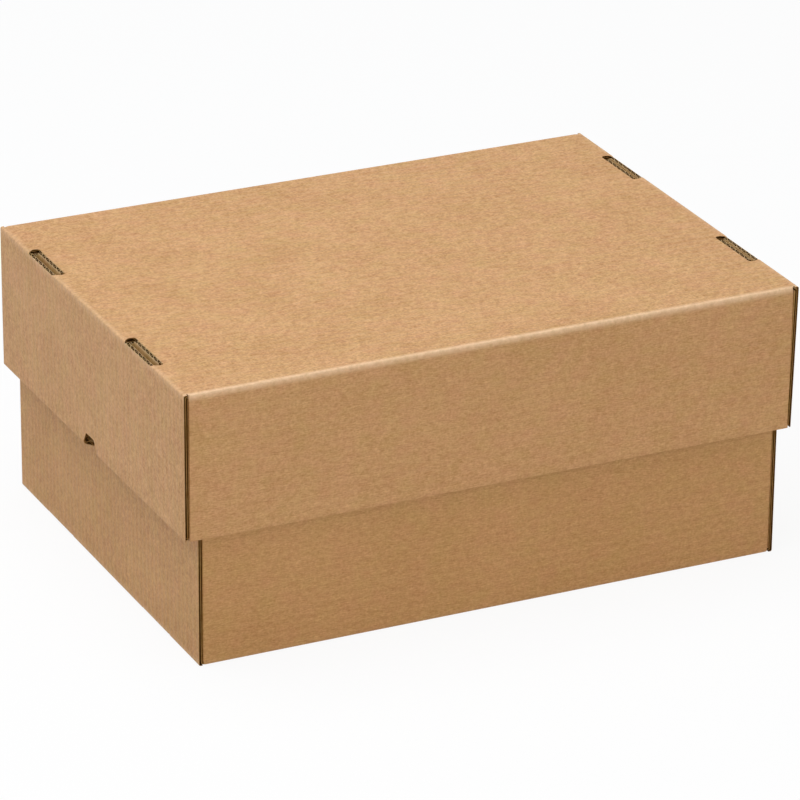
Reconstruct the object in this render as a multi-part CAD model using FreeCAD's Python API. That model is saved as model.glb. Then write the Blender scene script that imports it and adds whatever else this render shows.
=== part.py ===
import FreeCAD, Part
import math
import os

# A two-piece shipping box in single-wall corrugated board: a tray-shaped base, and a
# lid that is the same kind of tray turned over and pulled down over it.
# Each piece is one die-cut sheet, folded up with no glue or tape. The long walls are
# single. Each end wall is double: the sheet goes up the outside, over the rim and down
# the inside, where two tabs lock into two slots at the foot of the wall. A flap from
# each long wall is held between the two layers of the end wall.
#
# The frame is in millimetres: X along the length, Y across the width with the front
# at -Y, Z up, and the origin at the centre of the base's underside.

# Driving sizes
inside_length = 400.0      # inside the base, between its inner end panels
inside_width = 300.0       # inside the base, between its long walls
inside_depth = 185.0       # inside the base, from its floor to the rim of its end walls
lid_inside_depth = 98.0    # inside the lid, from its top panel to the rim of its end walls
board = 2.8                # thickness of the corrugated board
liner = 0.45               # each of the board's two flat outer papers
ply_gap = 0.1              # air between two layers of a doubled wall
fold_inner_radius = 0.3    # inside of every fold
fold_outer_radius = 1.2    # outside of every fold, where the crushed board is thicker
end_clearance = 1.8        # base's end wall to the inside of the lid's end wall
side_clearance = 0.4       # base's long wall to the inside of the lid's long wall
rest_gap = 0.3             # lid's top panel above the rim of the base
rim_setback = 0.2          # long walls stop this far short of the end walls' folded rim

# Raw edges that run along the flutes, which leave a groove open between the two liners
open_flute_depth = 3.0

# Corner flaps of the long walls
slot_flap_gap = 3.0        # from the end of a slot to the free edge of the flap beside it
flap_relief = 1.0          # between a flap's edge and the panel or fold beside it

# Tabs of the inner end panels, and the slots that they lock into
tab_spacing = 165.0        # between the middles of the two tabs of one end
tab_side_gap = 2.2         # from the side of a tab to the end of its slot
tab_corner = 2.5           # cut off the corners of a tab
tab_drop = 0.2             # a tab's edge stops this far inside the outer face
slot_length = 48.5
slot_corner_radius = 2.5
slot_gap = 0.1             # between a tab's inner face and the slot
slot_drop = 1.0            # edge of the outer end panel in a slot, below the outer face
slot_edge_inset = 1.0      # from the ends of the slot to where that edge stands up straight

# Cut-out in the middle of each end wall's rim fold
notch_rim_width = 22.0     # in the outer end panel, at the rim
notch_top_width = 13.0     # in the outer end panel, at its closed end
notch_inner_width = 9.0    # over the rim and in the inner end panel
notch_height = 8.0
notch_corner_radius = 1.5

# Sizes worked out from the driving sizes
fold_reach = board + fold_inner_radius
end_wall = 3.0 * board + 2.0 * ply_gap
base_length = inside_length + 2.0 * end_wall
base_width = inside_width + 2.0 * board
base_height = inside_depth + board
lid_length = base_length + 2.0 * (end_clearance + end_wall)
lid_width = base_width + 2.0 * (side_clearance + board)
lid_height = lid_inside_depth + board
closed_height = base_height + rest_gap + board
tab_width = slot_length - 2.0 * tab_side_gap
flap_edge = (tab_spacing + slot_length) / 2.0 + slot_flap_gap

# Length by which a cutting solid runs past the face that it cuts
beyond = 5.0
# Two points nearer than this are one point
same_point = 0.000001

AXIS_X = FreeCAD.Vector(1, 0, 0)
AXIS_Y = FreeCAD.Vector(0, 1, 0)
AXIS_Z = FreeCAD.Vector(0, 0, 1)


def plane_point(plane, first, second):
    """A point of the XY, XZ or YZ plane through the origin."""
    if plane == "XY":
        return FreeCAD.Vector(first, second, 0)
    if plane == "XZ":
        return FreeCAD.Vector(first, 0, second)
    return FreeCAD.Vector(0, first, second)


def prism(plane, outline, start, end):
    """Extrude a closed outline from start to end along the plane's normal.

    Each corner of the outline is (first, second, radius), with 0 for a sharp corner.
    """
    normal = {"XY": AXIS_Z, "XZ": AXIS_Y, "YZ": AXIS_X}[plane]
    corners = [(plane_point(plane, first, second), radius) for first, second, radius in outline]
    runs = []
    for index, (corner, radius) in enumerate(corners):
        before = (corners[index - 1][0] - corner).normalize()
        after = (corners[(index + 1) % len(corners)][0] - corner).normalize()
        half_angle = before.getAngle(after) / 2.0
        reach = radius / math.tan(half_angle)
        middle_way = (before + after).normalize()
        middle = corner + middle_way * (radius / math.sin(half_angle) - radius)
        runs.append((corner + before * reach, middle, corner + after * reach, radius))
    edges = []
    for index, (arc_start, arc_middle, arc_end, radius) in enumerate(runs):
        if radius > 0:
            edges.append(Part.Arc(arc_start, arc_middle, arc_end).toShape())
        next_start = runs[(index + 1) % len(runs)][0]
        if arc_end.distanceToPoint(next_start) > same_point:
            edges.append(Part.LineSegment(arc_end, next_start).toShape())
    solid = Part.Face(Part.Wire(edges)).extrude(normal * (end - start))
    solid.translate(normal * start)
    return solid


def block(low, high):
    """A box between two corners."""
    size = [top - bottom for bottom, top in zip(low, high)]
    return Part.makeBox(size[0], size[1], size[2], FreeCAD.Vector(*low))


def mirrored_pair(solid, across):
    """The solid and its mirror image in the plane through the origin across an axis."""
    return [solid, solid.mirror(FreeCAD.Vector(0, 0, 0), across)]


def floor_panel(length, width):
    """The flat panel, with the folds that turn up into the long walls."""
    half = width / 2.0
    section = [
        (-half, fold_reach, 0),
        (-half, 0, fold_outer_radius),
        (half, 0, fold_outer_radius),
        (half, fold_reach, 0),
        (half - board, fold_reach, 0),
        (half - board, board, fold_inner_radius),
        (-half + board, board, fold_inner_radius),
        (-half + board, fold_reach, 0),
    ]
    reach = length / 2.0 - board - ply_gap
    return prism("YZ", section, -reach, reach)


def front_wall(length, width, height):
    """The long wall on the front, with the corner flap that it carries at each end."""
    outer = length / 2.0 - board - ply_gap
    inner = outer - board
    face = -width / 2.0
    free_edge = -flap_edge
    plan = [
        (-outer, free_edge, 0),
        (-outer, face, fold_outer_radius),
        (outer, face, fold_outer_radius),
        (outer, free_edge, 0),
        (inner, free_edge, 0),
        (inner, face + board, fold_inner_radius),
        (-inner, face + board, fold_inner_radius),
        (-inner, free_edge, 0),
    ]
    rim = height - rim_setback
    wall = prism("XY", plan, 0, rim)
    wall_back = face + board
    over_flaps = block((-length, wall_back, height - board - flap_relief), (length, 0, height))
    under_flaps = block((-length, wall_back, 0), (length, 0, board + flap_relief))
    straight = outer - fold_reach
    open_flute = block(
        (-straight, face + liner, rim - open_flute_depth),
        (straight, wall_back - liner, rim + beyond),
    )
    return wall.cut([over_flaps, under_flaps, open_flute])


def rounded_envelope(length, width, height):
    """Everything inside the long walls' faces and the folds at their feet."""
    half = width / 2.0
    section = [
        (-half, height, 0),
        (-half, 0, fold_outer_radius),
        (half, 0, fold_outer_radius),
        (half, height, 0),
    ]
    return prism("YZ", section, -length / 2.0, length / 2.0)


def corner_envelope(length, width, height):
    """Everything inside the long walls and their rounded vertical corners."""
    outer = length / 2.0 - board - ply_gap
    half = width / 2.0
    plan = [
        (-outer, -half, fold_outer_radius),
        (outer, -half, fold_outer_radius),
        (outer, half, fold_outer_radius),
        (-outer, half, fold_outer_radius),
    ]
    return prism("XY", plan, 0, height)


def outer_end_panel(length, width, height):
    """The outer layer of the end wall at +X, with the fold at its foot."""
    face = length / 2.0
    floor_joint = face - 2.0 * fold_reach
    crease_height = height - board / 2.0
    section = [
        (floor_joint, 0, 0),
        (face, 0, fold_outer_radius),
        (face, crease_height, 0),
        (face - board, crease_height, 0),
        (face - board, board, fold_inner_radius),
        (floor_joint, board, 0),
    ]
    side = width / 2.0
    panel = prism("XZ", section, -side, side)
    # The fold of a long wall's foot ends here, so the panel meets the floor between them.
    fold_end = face - board - ply_gap
    wall_foot = block((floor_joint - beyond, side - board, -beyond), (fold_end, side + beyond, height))
    # The raw edge at each side is open between the liners, round the fold too.
    flute_section = [
        (floor_joint, liner, 0),
        (face - liner, liner, fold_outer_radius - liner),
        (face - liner, height, 0),
        (face - board + liner, height, 0),
        (face - board + liner, board - liner, fold_inner_radius + liner),
        (floor_joint, board - liner, 0),
    ]
    open_flute = prism("XZ", flute_section, side - open_flute_depth, side + beyond)
    return panel.cut(mirrored_pair(wall_foot, AXIS_Y) + mirrored_pair(open_flute, AXIS_Y))


def rolled_end_panel(length, width, height):
    """The sheet from the outer end panel over the rim and down the inside, at +X."""
    face = length / 2.0
    inside = face - end_wall
    joint_height = height - 2.0 * fold_reach
    free_edge = board + ply_gap
    section = [
        (face, joint_height, 0),
        (face, height, fold_outer_radius),
        (inside, height, fold_outer_radius),
        (inside, free_edge, 0),
        (inside + board, free_edge, 0),
        (inside + board, height - board, fold_inner_radius),
        (face - board, height - board, fold_inner_radius),
        (face - board, joint_height, 0),
    ]
    reach = width / 2.0 - board - ply_gap
    return prism("XZ", section, -reach, reach)


def locking_tab(length, middle):
    """A tab of the inner end panel at +X, down through its slot."""
    inside = length / 2.0 - end_wall
    half = tab_width / 2.0
    root = 3.0 * board
    outline = [
        (middle - half, root, 0),
        (middle - half, tab_drop + tab_corner, 0),
        (middle - half + tab_corner, tab_drop, 0),
        (middle + half - tab_corner, tab_drop, 0),
        (middle + half, tab_drop + tab_corner, 0),
        (middle + half, root, 0),
    ]
    return prism("YZ", outline, inside, inside + board)


def tab_slot(length, middle):
    """What the slot at the foot of the end wall at +X takes out of the sheet."""
    face = length / 2.0
    inside = face - end_wall - slot_gap
    half = slot_length / 2.0
    plan = [
        (inside, middle - half, slot_corner_radius),
        (face + slot_drop, middle - half, slot_corner_radius),
        (face + slot_drop, middle + half, slot_corner_radius),
        (inside, middle + half, slot_corner_radius),
    ]
    through = prism("XY", plan, -beyond, board + fold_inner_radius)
    kept_edge = block(
        (face - board, middle - slot_length, slot_drop),
        (face + beyond, middle + slot_length, board + beyond),
    )
    return through.cut(kept_edge)


def slot_edge(length, middle):
    """The outer end panel's edge in a slot at +X, which no fold pulls in, so it is straight."""
    face = length / 2.0
    half = slot_length / 2.0 - slot_edge_inset
    return block((face - board, middle - half, slot_drop), (face, middle + half, 2.0 * fold_reach))


def rim_notch(length, height):
    """The cut-out in the middle of the rim fold at +X, narrower past the outer end panel."""
    face = length / 2.0
    foot = notch_rim_width / 2.0
    top = notch_top_width / 2.0
    outline = [
        (-foot, height + beyond, 0),
        (-foot, height, 0),
        (-top, height - notch_height, notch_corner_radius),
        (top, height - notch_height, notch_corner_radius),
        (foot, height, 0),
        (foot, height + beyond, 0),
    ]
    outer = prism("YZ", outline, face - board, face + beyond)
    half = notch_inner_width / 2.0
    narrow = [
        (-half, height + beyond, 0),
        (-half, height - notch_height, notch_corner_radius),
        (half, height - notch_height, notch_corner_radius),
        (half, height + beyond, 0),
    ]
    return outer.fuse(prism("YZ", narrow, face - end_wall - beyond, face))


def folded_tray(length, width, height):
    """One folded sheet: floor, long walls with corner flaps, and doubled end walls."""
    tab_middles = (-tab_spacing / 2.0, tab_spacing / 2.0)
    floor = floor_panel(length, width).common(corner_envelope(length, width, height))
    wall = front_wall(length, width, height).common(rounded_envelope(length, width, height))
    outer_panel = outer_end_panel(length, width, height)
    sheet = floor.fuse(mirrored_pair(wall, AXIS_Y) + mirrored_pair(outer_panel, AXIS_X))
    for middle in tab_middles:
        sheet = sheet.cut(mirrored_pair(tab_slot(length, middle), AXIS_X))
        sheet = sheet.fuse(mirrored_pair(slot_edge(length, middle), AXIS_X))
    tabs = [locking_tab(length, middle) for middle in tab_middles]
    rolled = rolled_end_panel(length, width, height).fuse(tabs)
    sheet = sheet.fuse(mirrored_pair(rolled, AXIS_X))
    sheet = sheet.cut(mirrored_pair(rim_notch(length, height), AXIS_X))
    return sheet.removeSplitter()


def make_base():
    """The base stands open side up, with its floor on the ground."""
    return folded_tray(base_length, base_width, base_height)


def make_lid():
    """The lid is turned over and closed down over the base."""
    lid = folded_tray(lid_length, lid_width, lid_height)
    lid.rotate(FreeCAD.Vector(0, 0, 0), AXIS_X, 180)
    lid.translate(AXIS_Z * closed_height)
    return lid


def save(shape, node):
    """Write one node's STEP file and print what it holds."""
    box = shape.BoundBox
    low = [round(value, 2) for value in (box.XMin, box.YMin, box.ZMin)]
    high = [round(value, 2) for value in (box.XMax, box.YMax, box.ZMax)]
    volume = round(shape.Volume / 1000.0, 2)
    print(node, len(shape.Solids), "solid, valid", shape.isValid(), "cm3", volume, "box", low, high)
    shape.exportStep("parts/" + node + ".step")


os.makedirs("parts", exist_ok=True)
save(make_base(), "base")
save(make_lid(), "lid")
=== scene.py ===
import math

import bpy
import numpy as np
from mathutils import Matrix, Vector


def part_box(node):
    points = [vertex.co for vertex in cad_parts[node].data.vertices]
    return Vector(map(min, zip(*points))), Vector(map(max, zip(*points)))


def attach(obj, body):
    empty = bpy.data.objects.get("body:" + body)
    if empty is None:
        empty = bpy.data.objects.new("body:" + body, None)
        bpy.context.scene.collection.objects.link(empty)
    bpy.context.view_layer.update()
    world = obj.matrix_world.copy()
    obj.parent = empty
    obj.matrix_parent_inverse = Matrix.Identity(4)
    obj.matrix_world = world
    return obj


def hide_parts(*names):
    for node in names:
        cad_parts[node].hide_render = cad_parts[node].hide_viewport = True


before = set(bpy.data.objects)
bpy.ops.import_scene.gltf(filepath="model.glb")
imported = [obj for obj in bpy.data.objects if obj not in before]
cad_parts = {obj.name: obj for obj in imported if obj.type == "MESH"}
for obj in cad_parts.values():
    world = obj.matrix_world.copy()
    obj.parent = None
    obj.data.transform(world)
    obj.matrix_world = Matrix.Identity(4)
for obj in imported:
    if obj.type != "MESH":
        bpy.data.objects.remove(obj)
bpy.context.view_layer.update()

bl_info = {
    "name": "Two-piece cardboard box",
    "version": (1, 0, 0),
    "blender": (4, 5, 0),
    "location": "3D View > Sidebar > Box",
    "description": "Builds a closed corrugated box from its two flat blanks, round its frame",
    "category": "Object",
}

# Each tray is one sheet of corrugated board. It is made flat, as the die cuts it, from an
# outer liner, a fluted paper and an inner liner, and is then folded up. So the fluting
# shows wherever the real board is cut through. The frame gives the size of both trays.
LID_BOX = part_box("lid")
BASE_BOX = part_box("base")

MM = 0.001
QUARTER = math.pi / 2
# How far the pale band beside a fold reaches, on the floor panel, the end walls and the long
# walls, and from the edge of a tab: partly wear of the stretched liner, partly painted
# highlight where light catches the rounded folds
WEAR_AND_HIGHLIGHT_PANEL = 2.4 * MM
WEAR_AND_HIGHLIGHT_END = 4 * MM
WEAR_AND_HIGHLIGHT_LONG = 3.6 * MM
WEAR_AND_HIGHLIGHT_TAB = 3 * MM
# How pale they are, from wear and painted highlight: the lid's front fold, the other long
# folds, the end folds and the tabs
FRONT_WEAR_AND_HIGHLIGHT, LONG_WEAR_AND_HIGHLIGHT, END_WEAR_AND_HIGHLIGHT, TAB_WEAR_AND_HIGHLIGHT = 1.0, 0.3, 0.62, 0.9
# How strongly the mottling shows on the long walls, the end walls and the floor panel
LONG_GRAIN, END_GRAIN, PANEL_GRAIN = 0.66, 1.1, 1.3
# Shares of a fold: where the cut beside a long wall starts at the foot, where that wall ends
# at its corner, and where a rim's cut-out is widest
CRACK_SHARE, WALL_END_SHARE, CREASE_SHARE = 0.33, 0.9, 0.3
CRACK_WIDTH = 0.25 * MM
# A corner fold is pressed thinner by this share, and opens again over this much of its flap
CORNER_PRESS = 0.28
CORNER_OPENING = 12 * MM
# Steps round a rounded corner of a cut, round a fold in a liner and in the fluting, along one
# flute, up an end wall, along a corner's opening and along the rise of a slot's edge
CUT_STEPS, LINER_STEPS, FLUTING_STEPS, FLUTE_STEPS = 6, 7, 5, 6
WALL_STEPS, CORNER_STEPS, SLOT_STEPS = 6, 4, 4
# Grids: how far they reach past the blank, and their least and widest step
MARGIN = 2 * MM
LEAST_STEP = 0.12 * MM
WIDEST_STEP = 20 * MM
# The die's cutters stand from below the board to above it
CUTTER_FOOT, CUTTER_TOP = -3 * MM, 6 * MM
# Room between the fluted paper and each liner
PAPER_GAP = 0.02 * MM
# Points of a layer that are nearer to each other than this are one point
MERGE_DISTANCE = 1e-7
# A face is a cut edge if its normal rises less than this, and one along the flutes if its
# normal points across the sheet more than that
EDGE_RISE, SIDE_SHARE = 0.3, 0.35
SHARP = math.radians(50)


# Settings


def length(name, description, millimetres):
    """A size that the user may change."""
    return bpy.props.FloatProperty(
        name=name, description=description, default=millimetres * MM, unit="LENGTH", precision=5
    )


def colour(name, description, value):
    """A linear colour that the user may change."""
    return bpy.props.FloatVectorProperty(
        name=name, description=description, default=value, subtype="COLOR", min=0.0, max=1.0
    )


def amount(name, description, value, low=0.0, high=10.0):
    """A plain number that the user may change."""
    return bpy.props.FloatProperty(
        name=name, description=description, default=value, min=low, max=high, precision=4
    )


def angle(name, description, degrees):
    """An angle that the user may change."""
    return bpy.props.FloatProperty(
        name=name, description=description, default=math.radians(degrees), subtype="ANGLE"
    )


class BoardSettings(bpy.types.PropertyGroup):
    """The corrugated board and its folds."""

    thickness: length("Board", "Thickness of the whole board", 2.8)
    liner: length("Liner", "Thickness of each flat outer paper", 0.33)
    fluting: length(
        "Fluting paper", "Thickness of the fluted paper, measured across the board", 0.42
    )
    pitch: length("Flute pitch", "From one flute to the next", 6.3)
    skew: amount(
        "Flute skew", "How far the flutes run out of square with the sheet", 0.006, -0.1, 0.1
    )
    fold_inner_radius: length("Fold radius", "Inside radius of every fold", 0.3)
    fold_outer_radius: length("Fold edge", "Outside radius of every fold", 1.2)
    ply_gap: length("Gap between layers", "Air between two layers of a doubled wall", 0.1)


class CutSettings(bpy.types.PropertyGroup):
    """What the die cuts in each sheet."""

    rim_setback: length("Rim setback", "Long walls stop this far short of the folded rims", 0.2)
    flap_relief: length("Flap relief", "Between a corner flap and the fold beside it", 1.0)
    flap_edge: length(
        "Flap edge", "Free edge of a corner flap, from the middle of the end wall", 109.75
    )
    slot_spacing: length("Slot spacing", "Between the middles of the two slots of one end", 165.0)
    slot_length: length("Slot length", "Length of each slot", 48.5)
    slot_radius: length("Slot corner", "Corner radius of each slot", 2.5)
    slot_gap: length("Slot gap", "Between a tab's inner face and the slot", 0.1)
    slot_drop: length("Slot drop", "Edge of the end panel in a slot, below the outer face", 1.0)
    slot_edge_inset: length(
        "Edge inset", "From the end of a slot to where its edge leaves the fold", 1.0
    )
    slot_edge_rise: length("Edge rise", "Length over which that edge comes up straight", 3.0)
    tab_side_gap: length("Tab side gap", "From the side of a tab to the end of its slot", 2.2)
    tab_corner: length("Tab corner", "Cut off the corners of each tab", 2.5)
    tab_drop: length("Tab drop", "A tab's edge stops this far inside the outer face", 0.2)
    notch_rim_width: length("Notch at the rim", "Width of the cut-out at the rim", 22.0)
    notch_top_width: length("Notch at its end", "Width of the cut-out at its closed end", 13.0)
    notch_inner_width: length(
        "Notch past the rim", "Width of the cut-out in the inner end panel", 9.0
    )
    notch_height: length("Notch height", "Height of the cut-out", 9.2)
    notch_radius: length("Notch corner", "Corner radius of the cut-out", 1.5)


class LidSettings(bpy.types.PropertyGroup):
    """How the lid has settled in use, and where each sheet's flutes lie."""

    lean_left: length("Left wall lean", "The left end wall leans in by this much at the rim", 0.25)
    lean_right: length(
        "Right wall lean", "The right end wall leans in by this much at the rim", 1.9
    )
    bow: length("End wall bow", "End walls bow out by this much at half height", 0.05)
    corner_gap: length("Corner gap", "Gap between a long wall's corner fold and the end panel", 0.6)
    hole_shift: length(
        "Hole shift", "Slots and rim cut-outs sit this far to the back of the lid", 1.8
    )
    flute_phase: length(
        "Lid's flutes", "How far the lid's flutes are shifted across the sheet", 0.0
    )
    base_phase: length(
        "Base's flutes", "How far the base's flutes are shifted across the sheet", 3.15
    )


class KraftSettings(bpy.types.PropertyGroup):
    """Colours and surface of the board."""

    lid_tone: colour("Lid", "Colour of the lid's outer liner", (0.565, 0.300, 0.118))
    # The base's tone is set darker than the lid's as painted shade of the base under the lid's
    # overhang.
    base_tone: colour("Base", "Colour of the base's outer liner", (0.522, 0.271, 0.095))
    inner: colour("Inside", "Colour of the inner liners", (0.60, 0.38, 0.15))
    # Pale colour near folds: stretched liner, and painted highlight where light catches the rounded
    # folds.
    worn: colour(
        "Fold wear and highlight", "Colour of the liner by a fold: stretched paper and painted highlight", (0.98, 0.70, 0.45)
    )
    edge: colour("Cut edge", "Colour of paper edges cut across the flutes", (0.54, 0.36, 0.18))
    # Dark: painted shade for the shaded board edges in the corner gaps, which run along the flutes.
    side: colour("Shaded side edge", "Colour of paper edges cut along the flutes", (0.32, 0.165, 0.05))
    # Very dark: painted shade, since the fluting shows only in the board's cavities.
    fluting: colour("Fluting", "Colour of the fluted paper", (0.125, 0.056, 0.014))
    mottling: amount("Mottling", "Strength of the cloudy mottling", 0.3)
    fibres: amount("Fibres", "Strength of the fibre flecks", 0.2)
    washboard: amount("Washboard", "Height in millimetres of the flutes showing through", 0.25)
    roughness: amount("Roughness", "Roughness of the liners", 0.62, 0.0, 1.0)


class StudioSettings(bpy.types.PropertyGroup):
    """Camera, floor and light."""

    focal: bpy.props.FloatProperty(
        name="Focal length",
        description="Lens in millimetres on a 36 mm sensor",
        default=232.0,
        unit="CAMERA",
    )
    place: bpy.props.FloatVectorProperty(
        name="Camera place",
        description="Where the camera stands",
        default=(-1.3675, -2.8597, 1.4725),
        unit="LENGTH",
        precision=4,
    )
    turn: angle("Turn", "Camera's turn from the box's width, to the right", 25.637)
    tilt: angle("Tilt", "Camera's tilt down", 23.611)
    roll: angle("Roll", "Camera's roll", 0.559)
    floor: colour("Floor", "Colour of the floor", (0.74, 0.735, 0.73))
    shadow: amount(
        "Shadow share", "Share of the floor's brightness that shadows can darken", 0.13, 0.0, 1.0
    )
    sky: amount("Sky", "Strength of the even light from all round", 0.5)
    top_lamp: amount("Top lamp", "Power of the lamp overhead, in watts", 44.5, 0.0, 500.0)
    top_tint: colour("Top lamp colour", "Colour of the lamp overhead", (0.905, 0.95, 1.0))
    side_lamp: amount("Side lamp", "Power of the lamp on the left, in watts", 2.6, 0.0, 500.0)
    side_tint: colour("Side lamp colour", "Colour of the lamp on the left", (0.83, 0.925, 1.0))
    front_lamp: amount("Front lamp", "Power of the lamp in front, in watts", 14.2, 0.0, 500.0)
    front_tint: colour("Front lamp colour", "Colour of the lamp in front", (1.0, 0.965, 0.89))


# The flat blank and its folds


def ease(value):
    """Rise smoothly from 0 to 1."""
    value = np.clip(value, 0.0, 1.0)
    return value * value * (3.0 - 2.0 * value)


class Tray:
    """One folded sheet. Places on the flat blank are counted outwards from its middle."""

    def __init__(
        self,
        box,
        turned_over,
        flute_phase,
        corner_gap=0.0,
        leans=(0.0, 0.0),
        bow=0.0,
        hole_shift=0.0,
    ):
        board = bpy.context.scene.box_board
        cuts = bpy.context.scene.box_cuts
        low, high = box
        self.cuts, self.turned_over, self.top = cuts, turned_over, high.z
        self.half_length = (high.x - low.x) / 2
        self.half_width = (high.y - low.y) / 2
        self.height = high.z - low.z
        self.board = board.thickness
        self.flute_phase, self.corner_gap = flute_phase, corner_gap
        self.leans, self.bow = leans, bow
        self.hole_shift = -hole_shift if turned_over else hole_shift
        self.radius = board.thickness + board.fold_inner_radius
        self.edge_radius = board.fold_outer_radius
        self.arc = (self.radius - board.thickness / 2) * QUARTER
        self.ply = board.thickness + board.ply_gap
        self.end_wall = 3 * board.thickness + 2 * board.ply_gap
        rise = self.height - self.radius
        # Folds along the length: at the foot of the end wall, and twice over its rim
        self.foot = self.half_length - self.radius
        self.rim = self.foot + self.arc + rise - self.radius
        self.over = self.rim + self.arc + self.end_wall - 2 * self.radius
        self.panel_edge = self.over + self.arc + rise - self.ply
        self.tab_edge = self.over + self.arc + rise - cuts.tab_drop
        # Fold at the foot of the long wall, and its rim
        self.wall = self.half_width - self.radius
        self.wall_rim = self.wall + self.arc + rise - cuts.rim_setback
        # Fold from the long wall into its corner flap
        self.corner_face = self.half_length - self.ply - corner_gap
        self.corner = self.corner_face - self.radius
        self.flap_edge = self.corner + self.arc + self.wall - cuts.flap_edge
        self.flap_foot = self.wall + self.arc + self.ply + cuts.flap_relief - self.radius
        self.flap_top = self.wall + self.arc + rise - self.ply - cuts.flap_relief
        # Cut between the foot of the long wall and the end panel beside it: it widens from a crack
        self.crack = self.wall + CRACK_SHARE * self.arc
        self.wall_end = self.corner + WALL_END_SHARE * self.arc
        self.end_side = self.half_length - board.thickness
        # Slots
        self.slot_inner = self.half_length - self.end_wall - cuts.slot_gap
        self.slot_outer = self.foot + self.arc - self.radius + cuts.slot_drop

    def outline(self):
        """The blank's edge, as points (along, across) all round it."""
        cuts = self.cuts
        middle = cuts.slot_spacing / 2
        half = cuts.slot_length / 2 - cuts.tab_side_gap
        corner = cuts.tab_corner
        side = self.half_width - self.ply
        crest = self.rim + self.arc / 2
        quarter = [
            (self.panel_edge, middle - half),
            (self.tab_edge - corner, middle - half),
            (self.tab_edge, middle - half + corner),
            (self.tab_edge, middle + half - corner),
            (self.tab_edge - corner, middle + half),
            (self.panel_edge, middle + half),
            (self.panel_edge, side),
            (crest, side),
            (crest, self.half_width),
            (self.end_side, self.half_width),
            (self.end_side, self.crack),
            (self.end_side - CRACK_WIDTH, self.crack),
            (self.wall_end, self.flap_foot),
            (self.flap_edge, self.flap_foot),
            (self.flap_edge, self.flap_top),
            (self.wall_end, self.flap_top),
            (self.wall_end, self.wall_rim),
        ]
        upper = quarter + [(-u, v) for u, v in reversed(quarter)]
        return upper + [(-u, -v) for u, v in upper]

    def holes(self):
        """The slots and the cut-outs in the rim folds, each as a closed outline."""
        cuts = self.cuts
        found = []
        half = cuts.slot_length / 2
        radius = cuts.slot_radius
        for middle in (-cuts.slot_spacing / 2, cuts.slot_spacing / 2):
            found.append(
                rounded(
                    [
                        (self.slot_inner, middle - half, radius),
                        (self.slot_outer, middle - half, radius),
                        (self.slot_outer, middle + half, radius),
                        (self.slot_inner, middle + half, radius),
                    ]
                )
            )
        drop = cuts.notch_height - self.radius
        crease = self.rim + CREASE_SHARE * self.arc
        inner = cuts.notch_inner_width / 2
        side = [
            (self.rim - drop, cuts.notch_top_width / 2, cuts.notch_radius),
            (crease, cuts.notch_rim_width / 2, 0),
            (crease + self.arc, inner, 0),
            (self.over + self.arc + drop, inner, cuts.notch_radius),
        ]
        other = [(u, -v, radius) for u, v, radius in side]
        found.append(rounded(other + side[::-1]))
        found = [[(u, v + self.hole_shift) for u, v in hole] for hole in found]
        return found + [[(-u, v) for u, v in reversed(hole)] for hole in found]

    def bend(self, turn, depth):
        """Where a fold has got to (run, rise) at a share of its turn and a depth in the board."""
        flat = self.radius - self.edge_radius
        path = turn * (2 * flat + self.edge_radius * QUARTER)
        around = np.clip((path - flat) / self.edge_radius, 0, QUARTER)
        run = np.minimum(path, flat) + self.edge_radius * np.sin(around)
        rise = self.edge_radius * (1 - np.cos(around))
        rise += np.maximum(path - flat - self.edge_radius * QUARTER, 0)
        inner = self.radius - self.board
        inner_run = inner * np.sin(turn * QUARTER)
        inner_rise = self.board + inner * (1 - np.cos(turn * QUARTER))
        share = depth / self.board
        return run + share * (inner_run - run), rise + share * (inner_rise - rise)

    def bend_stops(self, start, steps):
        """Stations round a fold: its two flat ends, and even steps round its edge."""
        flat = self.radius - self.edge_radius
        flat /= 2 * flat + self.edge_radius * QUARTER
        turned = [flat + (1 - 2 * flat) * step / steps for step in range(steps + 1)]
        return [start + self.arc * turn for turn in (0, *turned, 1)]

    def fold_end(self, u, from_slot, w, right):
        """x and z of points of the floor panel and the end walls."""
        inner = self.half_length - self.end_wall
        x, z = np.array(u), np.array(w)
        run, rise = self.bend(np.clip((u - self.foot) / self.arc, 0, 1), w)
        part = u > self.foot
        # The end panel's edge in a slot stands straight up, without the fold.
        stand = self.cuts.slot_length / 2 - self.cuts.slot_edge_inset - from_slot
        stand = ease(stand / self.cuts.slot_edge_rise)
        upright = self.radius + u - self.foot - self.arc
        x = np.where(part, self.foot + run + stand * (self.half_length - w - self.foot - run), x)
        z = np.where(part, rise + stand * (upright - rise), z)
        part = u > self.foot + self.arc
        x, z = np.where(part, self.half_length - w, x), np.where(part, upright, z)
        run, rise = self.bend(np.clip((u - self.rim) / self.arc, 0, 1), w)
        part = u > self.rim
        x = np.where(part, self.half_length - rise, x)
        z = np.where(part, self.height - self.radius + run, z)
        part = u > self.rim + self.arc
        x = np.where(part, self.foot - (u - self.rim - self.arc), x)
        z = np.where(part, self.height - w, z)
        run, rise = self.bend(np.clip((u - self.over) / self.arc, 0, 1), w)
        part = u > self.over
        x = np.where(part, inner + self.radius - run, x)
        z = np.where(part, self.height - rise, z)
        part = u > self.over + self.arc
        x = np.where(part, inner + w, x)
        z = np.where(part, self.height - self.radius - (u - self.over - self.arc), z)
        return x + self.settle(right, u > self.foot, z), z

    def fold_wall(self, u, v, w, right):
        """x, y and z of points of a long wall and its corner flaps."""
        run, rise = self.bend(np.clip((v - self.wall) / self.arc, 0, 1), w)
        up = v > self.wall + self.arc
        y = np.where(up, self.half_width - w, self.wall + run)
        z = np.where(up, self.radius + v - self.wall - self.arc, rise)
        depth = self.half_width - y
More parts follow.
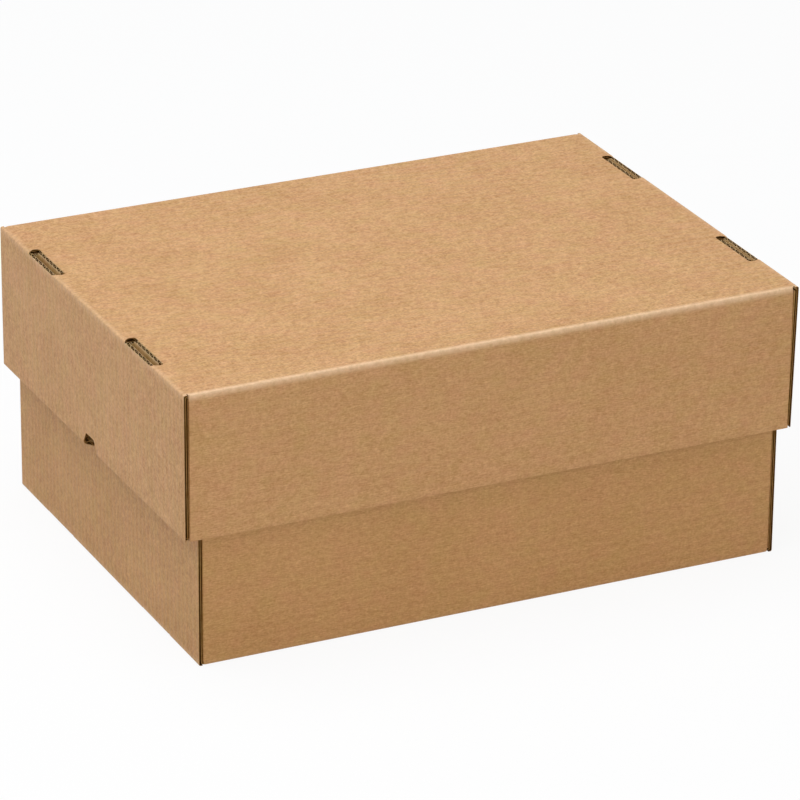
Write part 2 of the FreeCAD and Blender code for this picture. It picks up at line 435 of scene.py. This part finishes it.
        # The corner fold is pressed a little thinner than the board.
        turn = np.clip((u - self.corner) / self.arc, 0, 1)
        past = np.maximum(u - self.corner - self.arc, 0)
        open_again = ease(past / CORNER_OPENING)
        depth = depth * (1 - CORNER_PRESS * turn * (1 - open_again))
        run, rise = self.bend(turn, depth)
        face = self.corner_face + self.corner_gap * open_again
        bent_x = np.where(past > 0, face - depth, self.corner + run)
        bent_y = np.where(past > 0, self.wall - past, self.half_width - rise)
        bent_x = bent_x + open_again * self.settle(right, past > 0, z)
        # At its foot the wall is still part of the floor's fold, which doesn't turn the corner.
        share = np.where(u > self.corner, ease((v - self.wall) / (self.flap_foot - self.wall)), 0)
        return u + share * (bent_x - u), y + share * (bent_y - y), z

    def settle(self, right, part, z):
        """How far a settled end wall stands in from upright, at each height."""
        share = np.clip(z / self.height, 0, 1)
        lean = np.where(right, self.leans[1], self.leans[0])
        return np.where(part, -lean * share + 4 * self.bow * share * (1 - share), 0)

    def slot_distance(self, v):
        """Distance across the sheet from the middle of the nearest slot."""
        return abs(abs(v - self.hole_shift) - self.cuts.slot_spacing / 2)

    def in_wall(self, u, v):
        """Which points belong to the long walls, and not to the floor panel or the end walls."""
        beside = u < (self.half_length - self.ply + self.end_side) / 2
        # The small steps leave points that lie on a border to the panel.
        return (v > self.wall + 1e-7) & (beside | (v > self.half_width + 1e-6))

    def fold(self, points):
        """Fold points (along, across, depth in the board) of the blank into the tray."""
        u, v, w = abs(points[:, 0]), abs(points[:, 1]), points[:, 2]
        wall = self.in_wall(u, v)
        right = points[:, 0] > 0
        end_x, end_z = self.fold_end(u, self.slot_distance(points[:, 1]), w, right)
        wall_x, wall_y, wall_z = self.fold_wall(u, v, w, right)
        x = np.where(wall, wall_x, end_x) * np.where(points[:, 0] < 0, -1, 1)
        y = np.where(wall, wall_y, v) * np.where(points[:, 1] < 0, -1, 1)
        z = np.where(wall, wall_z, end_z)
        return np.stack([x, -y, self.top - z], 1) if self.turned_over else np.stack([x, y, z], 1)

    def grain_mask(self, points):
        """How strongly the mottling shows: most on the floor panel, least on the long walls."""
        u, v = abs(points[:, 0]), abs(points[:, 1])
        panel = np.where(u > self.foot + self.arc / 2, END_GRAIN, PANEL_GRAIN)
        return np.where(v > self.wall + self.arc / 2, LONG_GRAIN, panel)

    def fold_wear_and_highlight_mask(self, points):
        """How pale the paper is made by the folds, from wear and painted highlight: most along the
        front fold of the lid and the tabs' edges.
        """
        u, v = abs(points[:, 0]), abs(points[:, 1])

        def near(place, start, wall_reach):
            beside = place - start - self.arc / 2
            reach = np.where(beside > 0, wall_reach, WEAR_AND_HIGHLIGHT_PANEL)
            return np.clip(1 - np.maximum(abs(beside) - self.arc / 6, 0) / reach, 0, 1)

        # The front fold of the lid is palest: wear and a painted highlight of the light along it.
        front = FRONT_WEAR_AND_HIGHLIGHT if self.turned_over else LONG_WEAR_AND_HIGHLIGHT
        side = near(v, self.wall, WEAR_AND_HIGHLIGHT_LONG) * np.where(points[:, 1] > 0, front, LONG_WEAR_AND_HIGHLIGHT)
        end = END_WEAR_AND_HIGHLIGHT * near(u, self.foot, WEAR_AND_HIGHLIGHT_END)
        tab = TAB_WEAR_AND_HIGHLIGHT * np.clip(1 - (self.tab_edge - u) / WEAR_AND_HIGHLIGHT_TAB, 0, 1)
        panel = np.maximum(np.maximum(end, tab), side * (u < self.foot + self.arc / 2))
        return np.where(self.in_wall(u, v), side, panel)


def rounded(corners):
    """A closed outline from corners (u, v, radius), each rounded by its radius."""
    points = []
    for index, (u, v, radius) in enumerate(corners):
        corner = Vector((u, v))
        if radius <= 0:
            points.append((u, v))
            continue
        before = (Vector(corners[index - 1][:2]) - corner).normalized()
        after = (Vector(corners[(index + 1) % len(corners)][:2]) - corner).normalized()
        half = before.angle(after) / 2
        reach = radius / math.tan(half)
        centre = corner + (before + after).normalized() * (radius / math.sin(half))
        start = corner + before * reach - centre
        end = corner + after * reach - centre
        sweep = start.angle_signed(end)
        for step in range(CUT_STEPS + 1):
            turned = Matrix.Rotation(-sweep * step / CUT_STEPS, 2) @ start
            points.append(tuple(centre + turned))
    return points


def places(stops):
    """Sorted places, on both sides of the middle, at least the least step apart."""
    kept = []
    for stop in sorted(stops):
        if not kept or stop - kept[-1] > LEAST_STEP:
            kept.append(stop)
    return np.array([-stop for stop in reversed(kept) if stop > 0] + kept)


def lines_along(tray, segments):
    """Where the blank needs lines across its length: at its folds and on the walls between."""
    stops = [0.0, tray.tab_edge + MARGIN, tray.flap_edge + MARGIN]
    flap = tray.corner + tray.arc
    stops += [flap + CORNER_OPENING * step / CORNER_STEPS for step in range(1, CORNER_STEPS + 1)]
    panel = tray.foot + tray.arc
    stops += [panel + (tray.rim - panel) * step / WALL_STEPS for step in range(1, WALL_STEPS)]
    for start in (tray.foot, tray.rim, tray.over, tray.corner):
        stops += tray.bend_stops(start, segments)
    stops += [tray.foot - WEAR_AND_HIGHLIGHT_PANEL, panel + WEAR_AND_HIGHLIGHT_END, tray.tab_edge - WEAR_AND_HIGHLIGHT_TAB]
    return places(stops)


def lines_across(tray, segments):
    """Where a flat liner needs lines along its length."""
    cuts = tray.cuts
    stops = [tray.wall_rim + MARGIN, tray.half_width + MARGIN]
    stops += tray.bend_stops(tray.wall, segments)
    stops += [tray.wall - WEAR_AND_HIGHLIGHT_PANEL, tray.wall + tray.arc + WEAR_AND_HIGHLIGHT_LONG]
    half = cuts.slot_length / 2 - cuts.slot_edge_inset
    for step in range(SLOT_STEPS + 1):
        into = half - cuts.slot_edge_rise * step / SLOT_STEPS
        for shift in (-tray.hole_shift, tray.hole_shift):
            middle = cuts.slot_spacing / 2 + shift
            stops += [middle - into, middle + into]
    stops += [step * WIDEST_STEP for step in range(int(tray.wall_rim / WIDEST_STEP) + 1)]
    return places(stops)


def blank_grid(name, tray, along, across):
    """A flat grid that covers the blank, with lines at the given places."""
    u, v = np.meshgrid(along, across, indexing="ij")
    middle_u = abs(u[:-1, :-1] + u[1:, 1:]) / 2
    middle_v = abs(v[:-1, :-1] + v[1:, 1:]) / 2
    kept = (middle_v < tray.half_width + MARGIN) | (middle_u < tray.flap_edge + MARGIN)
    index = np.arange(u.size).reshape(u.shape)
    faces = np.stack([index[:-1, :-1], index[1:, :-1], index[1:, 1:], index[:-1, 1:]], -1)[kept]
    used, faces = np.unique(faces, return_inverse=True)
    points = np.stack([u.ravel()[used], v.ravel()[used], np.zeros(len(used))], 1)
    mesh = bpy.data.meshes.new(name)
    mesh.from_pydata(points.tolist(), [], faces.reshape(-1, 4).tolist())
    return link(name, mesh)


def link(name, data):
    """Put a mesh, lamp or camera in the scene as an object of that name."""
    made = bpy.data.objects.new(name, data)
    bpy.context.scene.collection.objects.link(made)
    return made


def settle_modifiers(piece):
    """Turn what an object's modifiers make into its own plain mesh."""
    depsgraph = bpy.context.evaluated_depsgraph_get()
    mesh = bpy.data.meshes.new_from_object(piece.evaluated_get(depsgraph), depsgraph=depsgraph)
    flat = piece.data
    piece.modifiers.clear()
    piece.data = mesh
    bpy.data.meshes.remove(flat)


# Geometry nodes: one layer of the board


def add_node(tree, kind, inputs=None, **settings):
    """Add a node, set its values and link what is given to its inputs."""
    made = tree.nodes.new(kind)
    for name, value in settings.items():
        setattr(made, name, value)
    for key, value in (inputs or {}).items():
        if isinstance(value, bpy.types.NodeSocket):
            tree.links.new(value, made.inputs[key])
        else:
            made.inputs[key].default_value = value
    return made


def maths(tree, operation, *values, **settings):
    """Add a Math node and return its result."""
    inputs = dict(enumerate(values))
    return add_node(tree, "ShaderNodeMath", inputs, operation=operation, **settings).outputs[0]


def vector_maths(tree, operation, *values):
    """Add a Vector Math node and return its result."""
    inputs = dict(enumerate(values))
    return add_node(tree, "ShaderNodeVectorMath", inputs, operation=operation).outputs[0]


def socket(tree, name, kind, value=None, out=False):
    """Add a named input or output to a node group."""
    side = "OUTPUT" if out else "INPUT"
    made = tree.interface.new_socket(name, in_out=side, socket_type="NodeSocket" + kind)
    if value is not None:
        made.default_value = value


def paper_layer_nodes():
    """A tree that turns a flat grid into a closed layer of paper, flat or fluted."""
    tree = bpy.data.node_groups.new("Paper layer", "GeometryNodeTree")
    socket(tree, "Geometry", "Geometry")
    for name, value in (
        ("Level", 0.0014),
        ("Thickness", 0.0003),
        ("Flute height", 0.0),
        ("Flute pitch", 0.0063),
        ("Flute skew", 0.0),
        ("Flute phase", 0.0),
    ):
        socket(tree, name, "Float", value)
    socket(tree, "Material", "Material")
    socket(tree, "Geometry", "Geometry", out=True)
    given = tree.nodes.new("NodeGroupInput").outputs
    position = tree.nodes.new("GeometryNodeInputPosition").outputs[0]
    place = add_node(tree, "ShaderNodeSeparateXYZ", {0: position})
    across = maths(tree, "MULTIPLY_ADD", place.outputs[0], given["Flute skew"], place.outputs[1])
    across = maths(tree, "ADD", across, given["Flute phase"])
    turns = maths(tree, "DIVIDE", across, given["Flute pitch"])
    wave = maths(tree, "SINE", maths(tree, "MULTIPLY", turns, 2 * math.pi))
    level = maths(tree, "MULTIPLY_ADD", wave, given["Flute height"], given["Level"])
    lower = maths(tree, "SUBTRACT", level, maths(tree, "MULTIPLY", given["Thickness"], 0.5))
    offset = add_node(tree, "ShaderNodeCombineXYZ", {2: lower})
    placed = {"Geometry": given["Geometry"], "Offset": offset.outputs[0]}
    sheet = add_node(tree, "GeometryNodeSetPosition", placed)
    raised = {"Mesh": sheet.outputs[0], "Offset": (0, 0, 1), "Offset Scale": given["Thickness"]}
    top = add_node(tree, "GeometryNodeExtrudeMesh", {**raised, "Individual": False})
    under = add_node(tree, "GeometryNodeFlipFaces", {"Mesh": sheet.outputs[0]})
    both = add_node(tree, "GeometryNodeJoinGeometry", {"Geometry": top.outputs[0]})
    tree.links.new(under.outputs[0], both.inputs[0])
    merged = {"Geometry": both.outputs[0], "Distance": MERGE_DISTANCE}
    closed = add_node(tree, "GeometryNodeMergeByDistance", merged)
    solid = add_node(tree, "GeometryNodeRealizeInstances", {"Geometry": closed.outputs[0]})
    covered = {"Geometry": solid.outputs[0], "Material": given["Material"]}
    papered = add_node(tree, "GeometryNodeSetMaterial", covered)
    add_node(tree, "NodeGroupOutput", {0: papered.outputs[0]})
    return tree


def lay_paper(piece, tree, values):
    """Give a flat grid its thickness and its flutes."""
    modifier = piece.modifiers.new("Paper layer", "NODES")
    modifier.node_group = tree
    for item in tree.interface.items_tree:
        if item.in_out == "INPUT" and item.name in values:
            modifier[item.identifier] = values[item.name]
    settle_modifiers(piece)


def punch(name, outlines):
    """A closed solid for each outline, standing through the whole board."""
    points, faces = [], []
    for outline in outlines:
        first, count = len(points), len(outline)
        points += [(u, v, level) for level in (CUTTER_FOOT, CUTTER_TOP) for u, v in outline]
        faces.append([first + index for index in reversed(range(count))])
        faces.append([first + count + index for index in range(count)])
        for index in range(count):
            near, after = first + index, first + (index + 1) % count
            faces.append([near, after, count + after, count + near])
    mesh = bpy.data.meshes.new(name)
    mesh.from_pydata(points, [], faces)
    return link(name, mesh)


def die_cut(piece, edge, holes):
    """Cut a flat layer to the blank's edge and cut its holes."""
    for tool, operation in ((edge, "INTERSECT"), (holes, "DIFFERENCE")):
        cut = piece.modifiers.new(operation.title(), "BOOLEAN")
        cut.object, cut.operation, cut.solver = tool, operation, "MANIFOLD"
    settle_modifiers(piece)


def read(items, key, width, kind=np.float32):
    """One value of each of a mesh's items, as the rows of an array."""
    values = np.zeros(len(items) * width, kind)
    items.foreach_get(key, values)
    return values.reshape(-1, width)


def fold_up(piece, tray, papers, surface, hidden):
    """Fold a flat layer into its tray, and give its faces their papers.

    hidden is 1 or -1 where the layer's upper or lower face lies inside the board, or else 0.
    """
    mesh = piece.data
    points = read(mesh.vertices, "co", 3).astype(float)
    normals = read(mesh.polygons, "normal", 3)
    corners = read(mesh.loops, "vertex_index", 1, np.int32)[:, 0]
    blank = mesh.uv_layers.new(name="Blank")
    blank.data.foreach_set("uv", points[corners, :2].astype(np.float32).ravel())
    # The fold mask holds the pale band by the folds: wear and a painted highlight.
    for name, mask in (("fold", tray.fold_wear_and_highlight_mask(points)), ("grain", tray.grain_mask(points))):
        made = mesh.attributes.new(name, "FLOAT", "POINT")
        made.data.foreach_set("value", mask.astype(np.float32))
    mesh.vertices.foreach_set("co", tray.fold(points).astype(np.float32).ravel())
    mesh.materials.clear()
    # Slots: 0 surface, 1 cut edge across the flutes, 2 inside the board, 3 cut edge along them.
    # Slots 2 and 3 take dark papers as painted shade of the board's cavities and corner gaps.
    for paper in (surface, papers["edge"], papers["fluting"], papers["side"]):
        mesh.materials.append(paper)
    facing = normals[:, 2]
    # Edges along the flutes get the dark side paper, as painted shade.
    edge = np.where(abs(normals[:, 1]) > SIDE_SHARE, 3, 1)
    # Liner faces inside the board get the dark fluting paper, as painted shade of the cavity.
    face = np.where(facing * hidden > EDGE_RISE, 2, 0)
    index = np.where(abs(facing) < EDGE_RISE, edge, face)
    mesh.polygons.foreach_set("material_index", index.astype(np.int32))
    mesh.shade_smooth()
    mesh.set_sharp_from_angle(angle=SHARP)
    mesh.update()


def join(name, pieces):
    """Join pieces into the first and name it."""
    with bpy.context.temp_override(
        active_object=pieces[0], selected_editable_objects=pieces, selected_objects=pieces
    ):
        bpy.ops.object.join()
    pieces[0].name = name


def make_tray(node, tray):
    """Make one tray's liners and fluting, and let them stand for its node."""
    board = bpy.context.scene.box_board
    tree = bpy.data.node_groups.get("Paper layer") or paper_layer_nodes()
    papers = board_materials(node)
    edge = punch("blank_edge", [tray.outline()])
    holes = punch("blank_holes", tray.holes())
    flat = {"Thickness": board.liner, "Flute height": 0.0}
    liners = []
    along, across = lines_along(tray, LINER_STEPS), lines_across(tray, LINER_STEPS)
    for name, level, hidden in (
        ("outer", board.liner / 2, 1),
        ("inner", board.thickness - board.liner / 2, -1),
    ):
        layer = blank_grid(node + "_" + name, tray, along, across)
        lay_paper(layer, tree, {**flat, "Level": level, "Material": papers[name]})
        die_cut(layer, edge, holes)
        fold_up(layer, tray, papers, papers[name], hidden)
        liners.append(layer)
    join(node + "_liners", liners)
    count = math.ceil((tray.wall_rim + MARGIN) / board.pitch) * FLUTE_STEPS
    across = np.arange(-count, count + 1) * board.pitch / FLUTE_STEPS
    medium = blank_grid(node + "_fluting", tray, lines_along(tray, FLUTING_STEPS), across)
    room = board.thickness / 2 - board.liner - board.fluting / 2 - PAPER_GAP
    waved = {
        "Level": board.thickness / 2,
        "Thickness": board.fluting,
        "Flute height": room,
        "Flute pitch": board.pitch,
        "Flute skew": board.skew,
        "Flute phase": tray.flute_phase,
        "Material": papers["fluting"],
    }
    lay_paper(medium, tree, waved)
    die_cut(medium, edge, holes)
    fold_up(medium, tray, papers, papers["fluting"], 0)
    for tool in (edge, holes):
        bpy.data.objects.remove(tool)
    for piece in (liners[0], medium):
        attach(piece, node)
    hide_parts(node)
    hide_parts(node)


# Papers


# Noise of the paper, each with its scale, detail, roughness and gain
CLOUDS = (190, 3, 0.6, 1.5)
SPECKS = (620, 2, 0.6, 3.2)
PATCHES = (22, 2, 0.5, 0.7)
DRIFT = (75, 2, 0.5, 0.42)
# Noise of the broken fibres on folds and of the washboard's strength: scale, detail, roughness
TUFTS = (300, 3, 0.7)
WASHBOARD_PATCHES = (9, 2, 0.5)
# Turn and seed of each direction of fibres, how fine they are along and across it, their
# noise's scale, detail, roughness and distortion, and its gain
FIBRES = ((0.35, 3.1), (1.5, 7.7), (2.6, 12.9))
FIBRE_SCALE = (230, 1500, 1)
FIBRE_NOISE = (1.0, 1, 0.5, 0.6)
FIBRE_GAIN = 2.0
# How much red, green and blue follow the light and dark places, and the drift of the tint
SHADE_SHARES = (0.75, 1.05, 1.6)
DRIFT_SHARES = (0.25, -0.2, 0.5)
# How soon the pale wear and painted highlight fade from a fold, and the gain and least
# value of its broken fibres
WEAR_AND_HIGHLIGHT_FADE = 2.4
BROKEN_GAIN, BROKEN_LEAST = 0.8, 0.14
# Height in millimetres of the grain, and how much the specks change the roughness
GRAIN_HEIGHT = 0.006
SPECK_ROUGHNESS = 0.06


def kraft_group():
    """Colour, roughness and height of brown kraft paper, from its place on the blank."""
    tree = bpy.data.node_groups.new("Kraft paper", "ShaderNodeTree")
    socket(tree, "Place", "Vector")
    socket(tree, "Blank", "Vector")
    socket(tree, "Tone", "Color", (0.5, 0.3, 0.15, 1))
    socket(tree, "Worn tone", "Color", (0.7, 0.5, 0.3, 1))
    socket(tree, "Fold", "Float", 0.0)
    socket(tree, "Grain", "Float", 1.0)
    socket(tree, "Mottling", "Float", 0.1)
    socket(tree, "Fibres", "Float", 0.1)
    socket(tree, "Roughness", "Float", 0.6)
    socket(tree, "Flute pitch", "Float", 0.0063)
    socket(tree, "Flute skew", "Float", 0.0)
    socket(tree, "Washboard", "Float", 0.02)
    socket(tree, "Tone", "Color", out=True)
    socket(tree, "Roughness", "Float", out=True)
    socket(tree, "Height", "Float", out=True)
    given = tree.nodes.new("NodeGroupInput").outputs

    def noise(vector, scale, detail, roughness, distortion=0.0):
        values = {"Vector": vector, "Scale": scale, "Detail": detail, "Roughness": roughness}
        values["Distortion"] = distortion
        return add_node(tree, "ShaderNodeTexNoise", values).outputs[0]

    def centred(value, gain):
        return maths(tree, "MULTIPLY", maths(tree, "SUBTRACT", value, 0.5), gain)

    def placed_noise(scale, detail, roughness, gain):
        return centred(noise(given["Place"], scale, detail, roughness), gain)

    # Cloudy mottling of two sizes, and broad patches
    clouds, specks, patches = (placed_noise(*values) for values in (CLOUDS, SPECKS, PATCHES))
    mottle = maths(tree, "ADD", maths(tree, "ADD", clouds, specks), patches)
    # Fibre flecks in three directions, longer than they are wide
    flecks = []
    for turn, seed in FIBRES:
        values = {"Vector": given["Blank"], "Location": (seed, seed, 0), "Rotation": (0, 0, turn)}
        laid = add_node(tree, "ShaderNodeMapping", {**values, "Scale": FIBRE_SCALE})
        flecks.append(centred(noise(laid.outputs[0], *FIBRE_NOISE), FIBRE_GAIN))
    fleck = maths(tree, "ADD", maths(tree, "ADD", flecks[0], flecks[1]), flecks[2])
    change = maths(
        tree,
        "MULTIPLY_ADD",
        mottle,
        maths(tree, "MULTIPLY", given["Mottling"], given["Grain"]),
        maths(tree, "MULTIPLY", fleck, given["Fibres"]),
    )
    # Dark places are also redder, so the blue changes most.
    shade = vector_maths(tree, "MULTIPLY_ADD", change, SHADE_SHARES, (1.0, 1.0, 1.0))
    # The tint drifts between yellow and pink from place to place.
    drifted = vector_maths(tree, "MULTIPLY_ADD", placed_noise(*DRIFT), DRIFT_SHARES, shade)
    toned = vector_maths(tree, "MULTIPLY", given["Tone"], drifted)
    # Folds stretch the liner, which shows paler, broken fibres; the same pale mix also paints
    # the highlight that light puts along the rounded folds.
    tufts = noise(given["Place"], *TUFTS)
    broken = maths(tree, "MULTIPLY_ADD", tufts, BROKEN_GAIN, BROKEN_LEAST)
    fading = maths(tree, "POWER", given["Fold"], WEAR_AND_HIGHLIGHT_FADE)
    worn = maths(tree, "MULTIPLY", fading, broken, use_clamp=True)
    tones = {"Factor": worn, 6: toned, 7: given["Worn tone"]}
    mixed = add_node(tree, "ShaderNodeMix", tones, data_type="RGBA")
    # Flutes show through as a faint washboard, stronger in some places than in others.
    flat = add_node(tree, "ShaderNodeSeparateXYZ", {0: given["Blank"]})
    across = maths(tree, "MULTIPLY_ADD", flat.outputs[0], given["Flute skew"], flat.outputs[1])
    turns = maths(tree, "DIVIDE", across, given["Flute pitch"])
    wave = maths(tree, "SINE", maths(tree, "MULTIPLY", turns, -2 * math.pi))
    patches = noise(given["Place"], *WASHBOARD_PATCHES)
    strength = maths(tree, "MULTIPLY", patches, given["Washboard"])
    ribs = maths(tree, "MULTIPLY", wave, strength)
    grain = maths(tree, "MULTIPLY", maths(tree, "ADD", specks, fleck), GRAIN_HEIGHT)
    height = maths(tree, "ADD", ribs, grain)
    rough = maths(tree, "MULTIPLY_ADD", specks, SPECK_ROUGHNESS, given["Roughness"])
    made = tree.nodes.new("NodeGroupOutput")
    tree.links.new(mixed.outputs[2], made.inputs["Tone"])
    tree.links.new(rough, made.inputs["Roughness"])
    tree.links.new(height, made.inputs["Height"])
    return tree


def paper_material(name, paper, tone):
    """One paper of the board, from the shared kraft group and its own values."""
    board = bpy.context.scene.box_board
    settings = bpy.context.scene.box_kraft
    # Only liners take the pale fold colour of wear and painted highlight.
    worn = settings.worn if paper in ("outer", "inner") else tone
    washboard = settings.washboard if paper in ("outer", "inner") else 0.0
    material = bpy.data.materials.new(name)
    material.use_nodes = True
    material.diffuse_color = (*tone, 1)
    tree = material.node_tree
    shader = tree.nodes["Principled BSDF"]
    group = tree.nodes.new("ShaderNodeGroup")
    group.node_tree = bpy.data.node_groups.get("Kraft paper") or kraft_group()
    place = tree.nodes.new("ShaderNodeTexCoord").outputs["Object"]
    blank = add_node(tree, "ShaderNodeUVMap", uv_map="Blank").outputs[0]
    fold, grain = (
        add_node(tree, "ShaderNodeAttribute", attribute_name=mask).outputs["Fac"]
        for mask in ("fold", "grain")
    )
    for key, value in (("Place", place), ("Blank", blank), ("Fold", fold), ("Grain", grain)):
        tree.links.new(value, group.inputs[key])
    for key, value in (
        ("Tone", (*tone, 1)),
        ("Worn tone", (*worn, 1)),
        ("Mottling", settings.mottling),
        ("Fibres", settings.fibres),
        ("Roughness", settings.roughness),
        ("Flute pitch", board.pitch),
        ("Flute skew", board.skew),
        ("Washboard", washboard),
    ):
        group.inputs[key].default_value = value
    bump = add_node(tree, "ShaderNodeBump", {"Height": group.outputs["Height"], "Distance": MM})
    tree.links.new(group.outputs["Tone"], shader.inputs["Base Color"])
    tree.links.new(group.outputs["Roughness"], shader.inputs["Roughness"])
    tree.links.new(bump.outputs[0], shader.inputs["Normal"])
    # Raw edges and the inside are too rough to shine.
    shader.inputs["Specular IOR Level"].default_value = 0.5 if paper == "outer" else 0.0
    return material


def board_materials(node):
    """The papers of one tray: outer liner, inner liner, its two kinds of cut edge and fluting."""
    settings = bpy.context.scene.box_kraft
    papers = {}
    for name in ("outer", "inner", "edge", "side", "fluting"):
        tone = getattr(settings, node + "_tone" if name == "outer" else name)
        papers[name] = paper_material(node + "_" + name, name, tuple(tone))
    return papers


# Stage


# Strength of the white that the camera sees, and the floor's reach and level
SEEN_STRENGTH = 1.03
FLOOR_REACH, FLOOR_LEVEL = 20.0, -0.2 * MM
# Name, place and size of each lamp, and the point that they aim at
LAMPS = (
    ("top", (-0.6, 0.1, 2.4), 2.2),
    ("side", (-2.4, 0.4, 1.2), 1.6),
    ("front", (-0.6, -2.6, 0.9), 1.6),
)
LAMP_AIM = Vector((0, 0, 0.1))
SENSOR_WIDTH = 36.0


def seen_white(tree, lit, share):
    """Mix a lit surface with plain white for rays from the camera, mirrors and glass."""
    path = tree.nodes.new("ShaderNodeLightPath").outputs
    direct = maths(tree, "MAXIMUM", path["Is Camera Ray"], path["Is Glossy Ray"])
    direct = maths(tree, "MAXIMUM", direct, path["Is Transmission Ray"])
    white = add_node(tree, "ShaderNodeEmission", {"Strength": SEEN_STRENGTH})
    factor = maths(tree, "MULTIPLY", direct, 1 - share)
    return add_node(tree, "ShaderNodeMixShader", {0: factor, 1: lit, 2: white.outputs[0]})


def stage_floor(studio):
    """A wide pale floor that keeps the box's shadow."""
    mesh = bpy.data.meshes.new("floor")
    signs = ((-1, -1), (1, -1), (1, 1), (-1, 1))
    corners = [(x * FLOOR_REACH, y * FLOOR_REACH, FLOOR_LEVEL) for x, y in signs]
    mesh.from_pydata(corners, [], [(0, 1, 2, 3)])
    floor = link("floor", mesh)
    material = bpy.data.materials.new("studio_floor")
    material.use_nodes = True
    tree = material.node_tree
    tree.nodes.clear()
    lit = add_node(tree, "ShaderNodeBsdfDiffuse", {"Color": (*studio.floor, 1)})
    mixed = seen_white(tree, lit.outputs[0], studio.shadow)
    add_node(tree, "ShaderNodeOutputMaterial", {0: mixed.outputs[0]})
    mesh.materials.append(material)


def stage_world(studio):
    """Even light from all round, seen as white."""
    world = bpy.data.worlds.new("studio_world")
    bpy.context.scene.world = world
    world.use_nodes = True
    tree = world.node_tree
    tree.nodes.clear()
    even = add_node(tree, "ShaderNodeBackground", {"Strength": studio.sky})
    mixed = seen_white(tree, even.outputs[0], 0.0)
    add_node(tree, "ShaderNodeOutputWorld", {0: mixed.outputs[0]})


def stage_lamps(studio):
    """Large soft square lamps that point at the box."""
    for name, place, size in LAMPS:
        data = bpy.data.lights.new(name + "_lamp", "AREA")
        data.shape, data.size = "SQUARE", size
        data.energy = getattr(studio, name + "_lamp")
        data.color = getattr(studio, name + "_tint")
        lamp = link(name + "_lamp", data)
        lamp.location = place
        lamp.rotation_euler = (LAMP_AIM - Vector(place)).to_track_quat("-Z", "Y").to_euler()


def stage_camera(studio):
    """The camera at the photograph's angle."""
    turn, tilt, roll = studio.turn, studio.tilt, studio.roll
    reach = math.cos(tilt)
    ahead = Vector((math.sin(turn) * reach, math.cos(turn) * reach, -math.sin(tilt)))
    level = Vector((math.cos(turn), -math.sin(turn), 0))
    upright = level.cross(ahead)
    right = level * math.cos(roll) + upright * math.sin(roll)
    top = upright * math.cos(roll) - level * math.sin(roll)
    data = bpy.data.cameras.new("camera")
    data.lens, data.sensor_width = studio.focal, SENSOR_WIDTH
    camera = link("camera", data)
    facing = Matrix((right, top, -ahead)).transposed().to_4x4()
    camera.matrix_world = Matrix.Translation(studio.place) @ facing
    bpy.context.scene.camera = camera


# Operators


class BOX_OT_lid(bpy.types.Operator):
    """Make the lid's folded sheet"""

    bl_idname = "cardboard_box.lid"
    bl_label = "Lid"
    bl_options = {"REGISTER", "UNDO"}

    def execute(self, context):
        lid = context.scene.box_lid
        leans = (lid.lean_left, lid.lean_right)
        settled = (lid.corner_gap, leans, lid.bow, lid.hole_shift)
        make_tray("lid", Tray(LID_BOX, True, lid.flute_phase, *settled))
        return {"FINISHED"}


class BOX_OT_base(bpy.types.Operator):
    """Make the base's folded sheet"""

    bl_idname = "cardboard_box.base"
    bl_label = "Base"
    bl_options = {"REGISTER", "UNDO"}

    def execute(self, context):
        make_tray("base", Tray(BASE_BOX, False, context.scene.box_lid.base_phase))
        return {"FINISHED"}


class BOX_OT_stage(bpy.types.Operator):
    """Set the floor, the light and the camera"""

    bl_idname = "cardboard_box.stage"
    bl_label = "Stage"
    bl_options = {"REGISTER", "UNDO"}

    def execute(self, context):
        studio = context.scene.box_studio
        context.scene.view_settings.view_transform = "Standard"
        stage_world(studio)
        stage_floor(studio)
        stage_lamps(studio)
        stage_camera(studio)
        return {"FINISHED"}


class BOX_PT_sidebar(bpy.types.Panel):
    """The box's pieces and settings"""

    bl_label = "Cardboard box"
    bl_idname = "BOX_PT_sidebar"
    bl_space_type = "VIEW_3D"
    bl_region_type = "UI"
    bl_category = "Box"

    def draw(self, context):
        layout = self.layout
        for operator in OPERATORS:
            layout.operator(operator.bl_idname)
        for name in SETTINGS:
            group = getattr(context.scene, name)
            section = layout.box()
            for key in group.__annotations__:
                section.prop(group, key)


SETTINGS = {
    "box_board": BoardSettings,
    "box_cuts": CutSettings,
    "box_lid": LidSettings,
    "box_kraft": KraftSettings,
    "box_studio": StudioSettings,
}
OPERATORS = (BOX_OT_lid, BOX_OT_base, BOX_OT_stage)
CLASSES = (*SETTINGS.values(), *OPERATORS, BOX_PT_sidebar)


def register():
    for made in CLASSES:
        bpy.utils.register_class(made)
    for name, group in SETTINGS.items():
        setattr(bpy.types.Scene, name, bpy.props.PointerProperty(type=group))


def unregister():
    for name in SETTINGS:
        delattr(bpy.types.Scene, name)
    for made in reversed(CLASSES):
        bpy.utils.unregister_class(made)


def main():
    register()
    bpy.ops.cardboard_box.lid()
    bpy.ops.cardboard_box.base()
    bpy.ops.cardboard_box.stage()
    bpy.context.view_layer.update()


if __name__ == "__main__":
    main()
